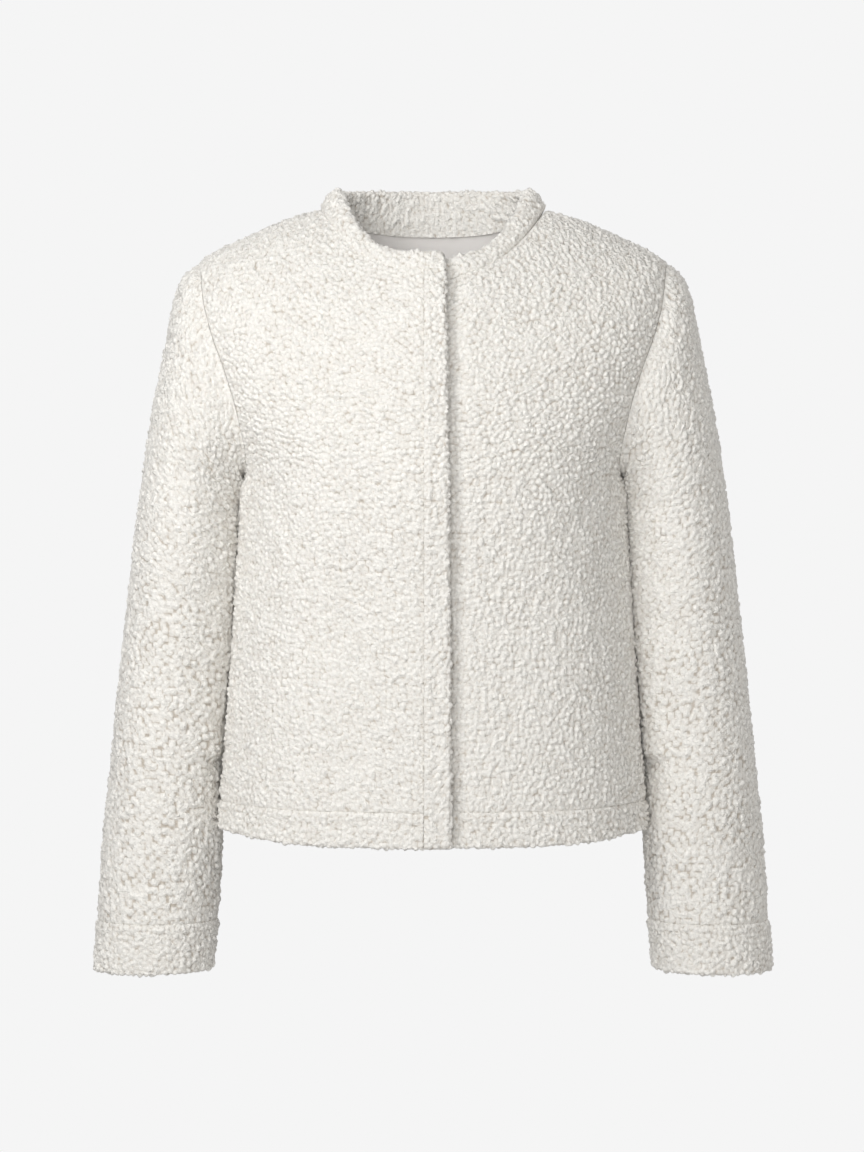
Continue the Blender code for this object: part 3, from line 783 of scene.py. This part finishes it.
def body_edges(rows, first_kind):
    """The seams round a panel, as kinds of groove with the points on them."""
    bottom, ends, top, starts = rows.sides()
    level = rows.station[ends]
    neck_kind = "faint_neck" if first_kind == "placket" else "neckband"
    edges = [("hem", bottom), (neck_kind, top), (first_kind, starts)]
    for kind, chosen in (
        ("side", level <= UNDERARM),
        ("armhole", (level >= UNDERARM) & (level <= SHOULDER_POINT)),
        ("shoulder", level >= SHOULDER_POINT),
    ):
        edges.append((kind, ends[chosen]))
        if first_kind == "both":
            edges.append((kind, starts[chosen]))
    return [edge for edge in edges if edge[0] != "both"]


def panel_stations(step, margin):
    """Even rows from the hem line to the neck seam, with one exactly at each corner."""
    levels = [HEM_LINE + margin, UNDERARM, SHOULDER_POINT, NECK_SEAM - margin]
    parts = [even(low, high, step)[:-1] for low, high in zip(levels, levels[1:])]
    return np.concatenate(parts + [[levels[-1]]])


def panel_face(face, rows):
    """The points and outward directions of a panel's rows on the body form."""
    return on_body(face, rows.station, rows.turn), body_normal(face, rows.station, rows.turn)


def wrong_side_of(name, rows, points, normals, offset=0.0):
    """A panel's inner face, one cloth inside its outer one."""
    depth = offset - CLOTH + creased(name, rows.across, rows.station)
    return points + normals * depth[:, None]


def panel(name, side=1):
    """A front, from the lap or underlap to its seams, or the back from side to side."""
    whole = name == "back"
    face = "back" if whole else "front"
    start = PLACKET_FROM_CENTRE + SEAM_GAP / 2 if side < 0 else -UNDERLAP
    faces = []
    for margin, step in (
        (SEAM_GAP / 2, BACK_STEP if whole else FRONT_STEP),
        (WRONG_SIDE_INSET, WRONG_SIDE_STEP),
    ):
        rows = body_rows(face, start, margin, panel_stations(step, margin), step, whole)
        offset = 0.0 if whole else front_offset(side, rows.across)
        faces.append((rows, *panel_face(face, rows), offset))
    outer, points, normals, offset = faces[0]
    offset = offset + leaning(outer.from_ends(), 0.0 if whole else 1.0, UNDERARM - outer.station)
    edges = body_edges(outer, "both" if whole else "placket" if side < 0 else "open")
    skin, nub = relief(name, outer, points, normals, offset, edges)
    wrong = wrong_side_of(name, *faces[1])
    cloths = [BOUCLE, WRONG_SIDE]
    return joined(name, side, outer, faces[1][0], skin, wrong, nub, cloths, range(4))


def lining():
    """The lining, a thin smooth wall just inside the back."""
    faces = []
    for step, depth in ((LINING_BACK_STEP, 0.0), (LINING_STEP, LINING_CLOTH)):
        stations = even(HEM_LINE + LINING_ABOVE_HEM, NECK_SEAM - LINING_BELOW_NECK, step)
        rows = body_rows("back", 0.0, LINING_INSET, stations, step, whole=True)
        points, normals = panel_face("back", rows)
        eased = LINING_CREASED * creased("back", rows.across, rows.station)
        deep = CLOTH + LINING_EASE + depth - eased
        faces.append((rows, points - normals * deep[:, None]))
    (outer, hidden), (inner, seen) = faces
    nub = np.zeros(len(hidden))
    return joined("lining_back", 1, outer, inner, hidden, seen, nub, [LINING], range(4))


def sleeve(side):
    """A one-piece sleeve, from the armhole to the cuff line."""
    name = "sleeve_right" if side < 0 else "sleeve_left"
    stations = even(ARMHOLE_GAP, CUFF_LINE - SEAM_GAP / 2, SLEEVE_STEP)
    outer = sleeve_rows(stations, SLEEVE_STEP)
    points = on_sleeve(outer.station, outer.turn)
    normals = sleeve_normal(outer.station, outer.turn)
    bottom, ends, top, starts = outer.sides()
    edges = [("armhole", bottom), ("cuff", top), ("side", starts), ("side", ends)]
    below = outer.station - SLEEVE_LEAN_FROM
    to_hem = CAP_LENGTH + UNDERARM + LEAN_FADE - outer.station
    offset = leaning(outer.from_ends(), outer.across > 0, below, to_hem)
    skin, nub = relief(name, outer, points, normals, offset, edges)
    low, high = ARMHOLE_GAP + WRONG_SIDE_INSET, CUFF_LINE - WRONG_SIDE_INSET
    inner = sleeve_rows(even(low, high, WRONG_SIDE_STEP), WRONG_SIDE_STEP)
    points = on_sleeve(inner.station, inner.turn)
    wrong = wrong_side_of(name, inner, points, sleeve_normal(inner.station, inner.turn))
    return joined(name, side, outer, inner, skin, wrong, nub, [BOUCLE, WRONG_SIDE], (0, 2))


def end_shapes(along, ends, corners):
    """How much narrower, and what share as thick, a band is near its two ends."""
    narrow, thin = np.zeros(len(along)), np.ones(len(along))
    for gone, soft, corner in zip((along, along[-1] - along), ends, corners):
        if soft:
            share = 1 - np.clip(gone / soft, 0.0, 1.0)
            thin = np.minimum(thin, np.maximum(np.sqrt(1 - share**2), END_THINNEST))
        if corner:
            share = 1 - np.clip(gone / corner, 0.0, 1.0)
            narrow = np.maximum(narrow, corner * (1 - np.sqrt(1 - share**2)))
    return narrow, thin


def band(
    name, seam, edge, normals, out, thick, inside_step=BAND_INSIDE_STEP, ends=(0.0, 0.0),
    corners=(0.0, 0.0), hang=0.0, grooved=1.0, crown=0.0,
):
    """A double band, from its seam line to the fold at its edge and back inside, where it may
    hang past the seam. Each of its ends is rounded over some distance, or butts on another
    piece. Its seam may be grooved less deeply in places, and its outside may be crowned.
    Without ends it is closed."""
    closed = ends is None
    reach = edge - seam
    width = np.linalg.norm(reach, axis=1)
    reach = reach / width[:, None]
    along = lengths_along((seam + edge) / 2)
    half = thick / 2
    narrow, thin = end_shapes(along, *(((0.0, 0.0),) * 2 if closed else (ends, corners)))
    flat = float(width.mean()) - half
    outside = even(0.0, flat, BAND_STEP) / flat
    turn = even(0.0, np.pi, BAND_STEP / half)[1:-1]
    inside = even(flat, -hang, inside_step) / flat
    flats = (len(outside), len(inside))
    level = np.pad(np.cos(turn), flats, constant_values=(1, -1))
    across_out = np.pad(np.sin(turn), flats)
    share = np.concatenate([outside, np.ones(len(turn)), inside])
    place = share[None] * (width - narrow - half)[:, None] + across_out[None] * half
    height = np.reshape(out, (-1, 1)) - half + half * level[None] * thin[:, None]
    points = seam[:, None] + reach[:, None] * place[..., None]
    points = points + normals[:, None] * height[..., None]
    ways = reach[:, None] * across_out[None, :, None] + normals[:, None] * level[None, :, None]
    ways = unit(ways)
    rows, size = points.shape[:2]
    flat_points, flat_ways = points.reshape(-1, 3), ways.reshape(-1, 3)
    tree = tree_of(flat_points)
    yarn = nubs(flat_points, flat_ways, tree, SEEDS[name]).reshape(rows, size)
    if inside_step > BAND_STEP:
        yarn[:, -len(inside):] *= NUB_INSIDE
    yarn = yarn * (1 - (1 - NUB_AT_SEAM) * fade(place, SEAM_REACH / 2))
    roll = rolled(place, GROOVES[name.split("_")[0]]) * np.asarray(grooved).reshape(-1, 1)
    roll = roll + swelling(place, RIDGE)
    roll = roll + crown * np.sin(np.pi * np.clip(place / width.mean(), 0.0, 1.0))
    on_outside = level[None] > -1
    taper = np.where(on_outside, 1 - fade(place, SEAM_TAPER), 1.0)
    lifted = taper * (yarn - NUB_SINK) + np.where(on_outside, roll, 0.0)
    skin = points + ways * lifted[..., None]
    faces = []
    number = np.arange(rows * size).reshape(rows, size)
    strips = rows if closed else rows - 1
    for k in range(strips):
        near, far = number[k], number[(k + 1) % rows]
        quads = np.stack([near, np.roll(near, -1), np.roll(far, -1), far], axis=1)
        faces += quads.tolist()
    if not closed:
        middle = len(outside) + len(turn) // 2
        there, here = slice(None, middle + 1), slice(None, middle - 1, -1)
        for k in (0, rows - 1):
            loop, spots = number[k], skin[k]
            faces += zipped(loop[there], loop[here], spots[there], spots[here])
    down = np.cumsum(np.full(size, BAND_STEP))
    uv = np.stack([np.repeat(along, size), np.tile(down, rows)], axis=1)
    rims = [k for k in range(strips * size) if k % size == size - 1]
    nub = yarn.ravel() / NUB_FULL
    return piece(name, skin.reshape(-1, 3), faces, uv, nub, len(faces), rims, [BOUCLE])


def hem_band(face, side):
    """A turned-up hem below one front, or below the whole back."""
    whole = face == "back"
    angles, length = measured_row(face, HEM_LINE / 2)
    last = length[-1] - SEAM_GAP / 2
    first = PLACKET_FROM_CENTRE + SEAM_GAP / 2 if side < 0 else -UNDERLAP
    places = even(-last if whole else first, last, BAND_STEP)
    turn = np.interp(places, length, angles)
    if whole:
        turn = np.sign(places) * np.interp(np.abs(places), length, angles)
    out = HEM_PROUD + leaning(last - np.abs(places), 0.0 if whole else 1.0, LEAN_FADE)
    if not whole:
        out = out + front_offset(side, places)
        if side > 0:
            out = out - HEM_PROUD * fade(places + UNDERLAP, UNDERLAP_FADE)
    seam = mirrored(on_body(face, HEM_LINE - SEAM_GAP / 2, turn), side)
    edge = mirrored(on_body(face, 0.0, turn), side)
    normals = mirrored(body_normal(face, HEM_LINE / 2, turn), side)
    name = "hem_back" if whole else "hem_front_right" if side < 0 else "hem_front_left"
    return band(name, seam, edge, normals, out, HEM_CLOTH)


def placket():
    """The folded band down the right front's edge, from the neck seam to the hem edge."""
    stations = even(0.0, NECK_SEAM - SEAM_GAP / 2, PLACKET_STEP)
    lines = []
    half_width = through_rows(BODY_RINGS, "side_x", stations)
    square = through_rows(BODY_RINGS, "square", stations)
    for across in (PLACKET_FROM_CENTRE - SEAM_GAP / 2, -lap_at(stations)):
        sine = (np.abs(across) / half_width) ** (square / 2)
        turn = np.sign(across) * np.degrees(np.arcsin(sine))
        lines.append(mirrored(on_body("front", stations, turn), -1))
    normals = mirrored(body_normal("front", stations, 0.0), -1)
    return band(
        "placket", *lines, normals, PLACKET_OUT, PLACKET_CLOTH, ends=PLACKET_ENDS,
        corners=PLACKET_CORNERS,
    )


def neckband():
    """The band from the right front's edge, round the back neck, to under the lap."""
    seams, tops, ways, outs, grooved = [], [], [], [], []
    quarter = {face: measured_row(face, NECK_SEAM) for face in ("front", "back")}
    for side, face, first, last in (
        (-1, "front", -LAP_AT_NECK, None),
        (-1, "back", None, 0.0),
        (1, "back", 0.0, None),
        (1, "front", None, -UNDERLAP),
    ):
        angles, length = quarter[face]
        first = length[-1] if first is None else first
        last = length[-1] if last is None else last
        places = even(first, last, BAND_STEP)
        places = places[1:] if seams else places
        turn = np.interp(places, length, angles)
        seam, top = neck_edges(face, turn)
        rise = unit(top - seam)
        dip = swelling(length[-1] - places, CORNER_DIP)
        top = top - rise * dip[:, None]
        seams.append(mirrored(seam + rise * SEAM_GAP, side))
        tops.append(mirrored(top, side))
        ways.append(mirrored(band_normal(face, turn), side))
        outs.append(front_offset(side, places) if face == "front" else np.zeros(len(places)))
        depth = NECK_FAINT if (side, face) == (-1, "front") else 1.0
        grooved.append(np.full(len(places), depth))
    seam, top, normals, out = (np.concatenate(part) for part in (seams, tops, ways, outs))
    return band(
        "neckband", seam, top, normals, out, BAND_CLOTH, BAND_STEP, NECK_ENDS, NECK_CORNERS,
        NECK_HANG, np.concatenate(grooved), NECK_CROWN,
    )


def cuff(side):
    """A turned-up cuff, closed round the end of a sleeve."""
    name = "cuff_right" if side < 0 else "cuff_left"
    turns = np.linspace(-180.0, 180.0, 2 * MEASURE_POINTS + 1)
    middle = (CUFF_LINE + CUFF_EDGE) / 2
    length = lengths_along(on_sleeve(middle, turns))
    turn = np.interp(even(0.0, length[-1], BAND_STEP)[:-1], length, turns)
    seam = mirrored(on_sleeve(CUFF_LINE + SEAM_GAP / 2, turn), side)
    edge = mirrored(on_sleeve(CUFF_EDGE, turn), side)
    normals = mirrored(sleeve_normal(middle, turn), side)
    return band(name, seam, edge, normals, HEM_PROUD, HEM_CLOTH, ends=None)


class Nodes:
    """A material's node tree, built up by short calls."""

    def __init__(self, name, finish):
        self.material = bpy.data.materials.new(name)
        self.material.use_nodes = True
        self.tree = self.material.node_tree
        self.shader = self.tree.nodes["Principled BSDF"]
        for socket, value in zip(FINISH_SOCKETS, finish):
            self.shader.inputs[socket].default_value = value

    def add(self, kind, values=(), **settings):
        node = self.tree.nodes.new("ShaderNode" + kind)
        for key, value in settings.items():
            setattr(node, key, value)
        for key, value in dict(values).items():
            if isinstance(value, bpy.types.NodeSocket):
                self.tree.links.new(value, node.inputs[key])
            else:
                node.inputs[key].default_value = value
        return node

    def noise(self, where, scale, detail=2):
        values = {"Vector": where, "Scale": scale, "Detail": detail}
        return self.add("TexNoise", values).outputs["Fac"]

    def cells(self, where, grain, feature):
        values = {"Vector": where, "Scale": grain.scale}
        return self.add("TexVoronoi", values, feature=feature).outputs["Distance"]

    def wave(self, where, weave, way):
        values = {"Scale": weave.scale, "Distortion": weave.wander, "Detail": weave.detail}
        node = self.add("TexWave", {"Vector": where, **values}, bands_direction=way)
        return node.outputs["Fac"]

    def mapped(self, value, low, high, from_low=0.0, from_high=1.0):
        values = {"From Min": from_low, "From Max": from_high, "To Min": low, "To Max": high}
        return self.add("MapRange", {"Value": value, **values}).outputs["Result"]

    def grey(self, value, grain, *between):
        return self.mapped(value, grain.low, grain.high, *between)

    def math(self, operation, a, b):
        return self.add("Math", {0: a, 1: b}, operation=operation).outputs["Value"]

    def ramp(self, value, *stops):
        node = self.add("ValToRGB", {"Fac": value})
        elements = node.color_ramp.elements
        while len(elements) < len(stops):
            elements.new(0.5)
        for element, (place, colour) in zip(elements, stops):
            element.position = place
            element.color = (*colour, 1.0)
        return node.outputs["Color"]

    def bump(self, height, grain, under=None):
        values = {"Height": height, "Distance": grain.distance, "Strength": grain.strength}
        if under is not None:
            values["Normal"] = under
        return self.add("Bump", values).outputs["Normal"]

    def finish(self, colour, normal, *greys):
        """The material, whose colour is multiplied by each of the greys."""
        if greys:
            amount = greys[0]
            for grey in greys[1:]:
                amount = self.math("MULTIPLY", amount, grey)
            node = self.add("VectorMath", {0: colour, "Scale": amount}, operation="SCALE")
            colour = node.outputs["Vector"]
        self.tree.links.new(colour, self.shader.inputs["Base Color"])
        self.tree.links.new(normal, self.shader.inputs["Normal"])
        return self.material


def boucle():
    """Ivory boucle with painted shade: darker down between the nubs than at their crests, and
    darker in the pits between fine curls and along the thin creases between them, which are also
    bump."""
    nodes = Nodes("boucle", BOUCLE_FINISH)
    where = nodes.add("TexCoord").outputs["Object"]
    height = nodes.add("Attribute", attribute_name="nub").outputs["Fac"]
    curls = nodes.cells(where, CURLS_AND_PIT_SHADE, "SMOOTH_F1")
    strands = nodes.noise(where, STRANDS.scale, STRANDS.detail)
    cells = nodes.cells(where, CRACKS_AND_CRACK_SHADE, "DISTANCE_TO_EDGE")
    cracks = nodes.mapped(cells, 0.0, 1.0, 0.0, CRACK_WIDTH)
    drift, speckle = (nodes.grey(nodes.noise(where, k.scale), k) for k in (DRIFT, SPECKLE))
    # Painted shade: greys darker in the curls' pits and along the cracks, and a ramp from dark
    # ground up to light crests
    pit_shade = nodes.grey(curls, CURLS_AND_PIT_SHADE, *CURL_PIT_SHADE_RANGE)
    lines = nodes.grey(cracks, CRACKS_AND_CRACK_SHADE)
    colour = nodes.ramp(height, *BOUCLE_PAINTED_SHADE_COLOURS)
    normal = nodes.bump(strands, STRANDS)
    normal = nodes.bump(nodes.math("SUBTRACT", 1.0, curls), CURLS_AND_PIT_SHADE, normal)
    normal = nodes.bump(cracks, CRACKS_AND_CRACK_SHADE, normal)
    return nodes.finish(colour, normal, drift, speckle, pit_shade, lines)


def woven(name, finish, colours, weave, stray):
    """A flat cloth: threads along its own directions, with stray unevenness over them."""
    nodes = Nodes(name, finish)
    cloth = nodes.add("UVMap", uv_map="cloth").outputs["UV"]
    where = nodes.add("TexCoord").outputs["Object"]
    waves = [nodes.wave(cloth, weave, way) for way in weave.ways]
    threads = nodes.math("MAXIMUM", *waves) if len(waves) > 1 else waves[0]
    uneven = nodes.noise(where, stray.scale, stray.detail)
    colour = nodes.ramp(nodes.noise(where, weave.blotches), *colours)
    normal = nodes.bump(uneven, stray, nodes.bump(threads, weave))
    return nodes.finish(colour, normal, nodes.grey(threads, weave), nodes.grey(uneven, stray))


def floor():
    """A pale round floor that fades out at its edge. It lies far enough below the jacket to
    stay out of the front view, and glows a little for the camera only."""
    mesh = bpy.data.meshes.new("floor")
    body = bmesh.new()
    bmesh.ops.create_circle(body, cap_ends=True, segments=FLOOR_SIDES, radius=FLOOR_RADIUS)
    body.to_mesh(mesh)
    body.free()
    item = placed("floor", mesh, (0.0, 0.0, FLOOR_HEIGHT))
    nodes = Nodes("floor", FLOOR_FINISH)
    where = nodes.add("TexCoord").outputs["Object"]
    colour = nodes.ramp(nodes.noise(where, FLOOR_BLOTCHES), *FLOOR_COLOURS)
    from_middle = nodes.add("VectorMath", {0: where}, operation="LENGTH").outputs["Value"]
    left = nodes.mapped(from_middle, 1.0, 0.0, FLOOR_FADE_FROM, FLOOR_RADIUS)
    glow = nodes.mapped(nodes.add("LightPath").outputs["Is Camera Ray"], 0.0, FLOOR_GLOW)
    nodes.shader.inputs["Emission Color"].default_value = (1.0, 1.0, 1.0, 1.0)
    nodes.tree.links.new(left, nodes.shader.inputs["Alpha"])
    nodes.tree.links.new(glow, nodes.shader.inputs["Emission Strength"])
    normal = nodes.bump(nodes.noise(where, FLOOR_GRIT.scale), FLOOR_GRIT)
    mesh.materials.append(nodes.finish(colour, normal))


def softbox(light):
    """A square area light that looks at a height on the middle line."""
    area = bpy.data.lights.new(light.name, "AREA")
    area.shape = "RECTANGLE"
    area.size = area.size_y = light.size
    area.energy = light.power
    area.color = light.tint
    item = placed(light.name, area, light.place)
    towards = Vector((0.0, 0.0, light.aim)) - Vector(light.place)
    item.rotation_mode = "QUATERNION"
    item.rotation_quaternion = towards.to_track_quat("-Z", "Y")


def studio():
    """Soft light from the upper left, the front and behind, and the camera. The surround
    looks paler to the camera than it lights the cloth."""
    scene = bpy.context.scene
    scene.view_settings.view_transform = "Standard"
    world = bpy.data.worlds.new("surround")
    world.use_nodes = True
    tree = world.node_tree
    seen = tree.nodes["Background"]
    seen.inputs["Color"].default_value = (*SURROUND, 1.0)
    around = tree.nodes.new("ShaderNodeBackground")
    around.inputs["Color"].default_value = (*AMBIENT, 1.0)
    pick = tree.nodes.new("ShaderNodeMixShader")
    path = tree.nodes.new("ShaderNodeLightPath")
    tree.links.new(path.outputs["Is Camera Ray"], pick.inputs["Fac"])
    tree.links.new(around.outputs["Background"], pick.inputs[1])
    tree.links.new(seen.outputs["Background"], pick.inputs[2])
    tree.links.new(pick.outputs["Shader"], tree.nodes["World Output"].inputs["Surface"])
    scene.world = world
    for light in LIGHTS:
        softbox(light)
    middle = (Vector(CAD_BOX[0]) + Vector(CAD_BOX[1])) / 2
    camera = bpy.data.cameras.new("camera")
    camera.lens = CAMERA_LENS
    place = (middle.x + CAMERA_ASIDE, -CAMERA_AWAY, middle.z + CAMERA_ABOVE)
    scene.camera = placed("camera", camera, place)
    scene.camera.rotation_euler = (np.pi / 2, 0.0, 0.0)


BOUCLE = boucle()
WRONG_SIDE = woven("boucle_wrong_side", WRONG_SIDE_FINISH, WRONG_SIDE_COLOURS, GROUND, LOOPS)
LINING = woven("lining", LINING_FINISH, LINING_COLOURS, TWILL, PULLS)

floor()
studio()

made = [panel("front_right", -1), panel("front_left"), panel("back"), sleeve(-1), sleeve(1)]
made += [hem_band("front", -1), hem_band("front", 1), hem_band("back", 1)]
made += [cuff(-1), cuff(1), placket(), neckband(), lining()]
made = {item.name.removesuffix("_cloth"): item for item in made}

for cut in CUTS:
    item = made[cut.piece]
    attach(item, "root")
    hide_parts(cut.piece)
